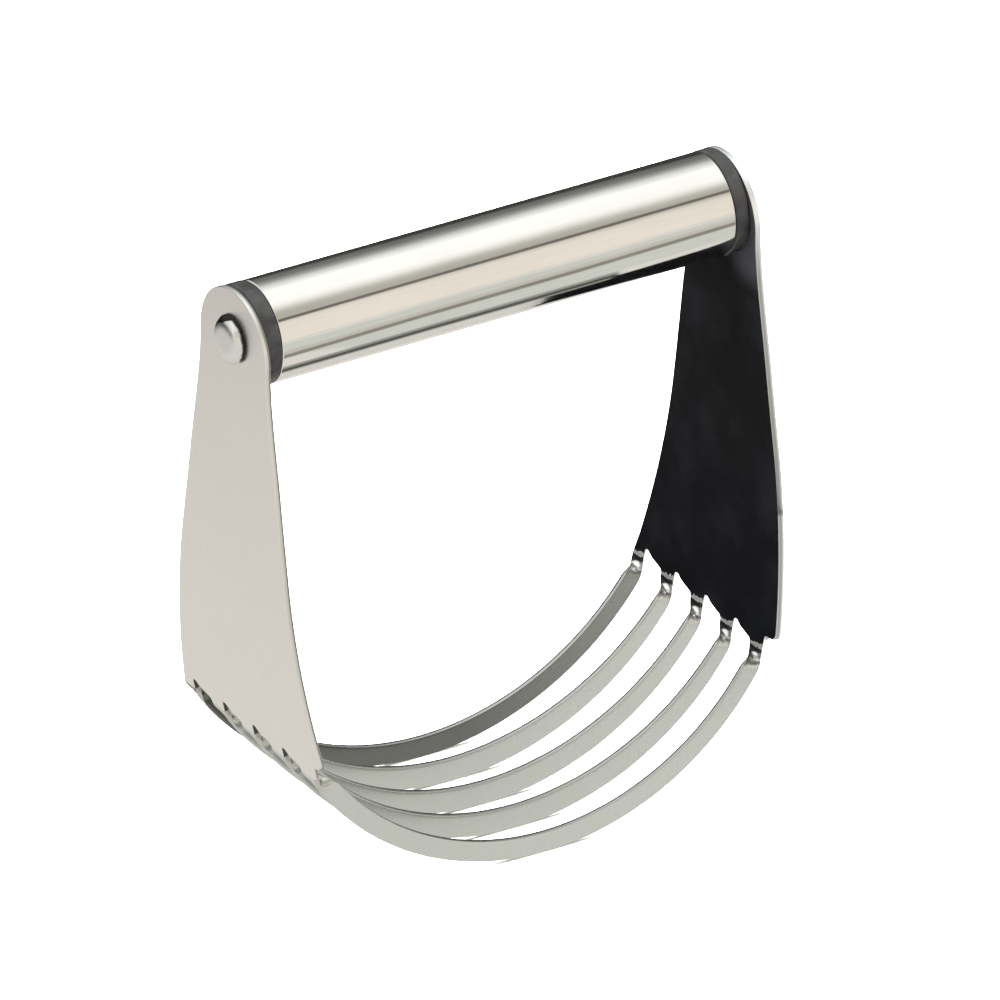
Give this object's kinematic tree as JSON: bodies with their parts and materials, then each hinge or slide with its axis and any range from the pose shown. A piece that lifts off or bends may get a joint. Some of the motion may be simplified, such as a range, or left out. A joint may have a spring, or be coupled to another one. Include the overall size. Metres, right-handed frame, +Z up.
{
  "type": "pastry blender",
  "caption": "Hand pastry cutter: curved steel strips twist out of tapered side plates and hang in parallel arcs below a polished tube handle with black end collars.",
  "frame": {"origin": "on the surface that the tool stands on, under the middle of the arcs, which touch it at their lowest points", "axes": "X along the handle, -Y the front, +Z up from the strips to the handle"},
  "size_m": [0.111, 0.0499, 0.1219],
  "materials": {
    "side_plate_steel": "satin outside, dark and glossy on the inner faces",
    "blade_steel": "satin, bright at the twists",
    "handle_steel": "polished stainless tube",
    "collar_plastic": "semi-matt black moulded plastic",
    "rivet_steel": "polished domed rivet head"
  },
  "bodies": {
    "root": {"left_side_plate": "side_plate_steel", "right_side_plate": "side_plate_steel", "blade_1": "blade_steel", "blade_2": "blade_steel", "blade_3": "blade_steel", "blade_4": "blade_steel", "blade_5": "blade_steel", "handle_tube": "handle_steel", "left_end_plug": "collar_plastic", "right_end_plug": "collar_plastic", "left_handle_rivet": "rivet_steel", "right_handle_rivet": "rivet_steel"}
  },
  "joints": []
}
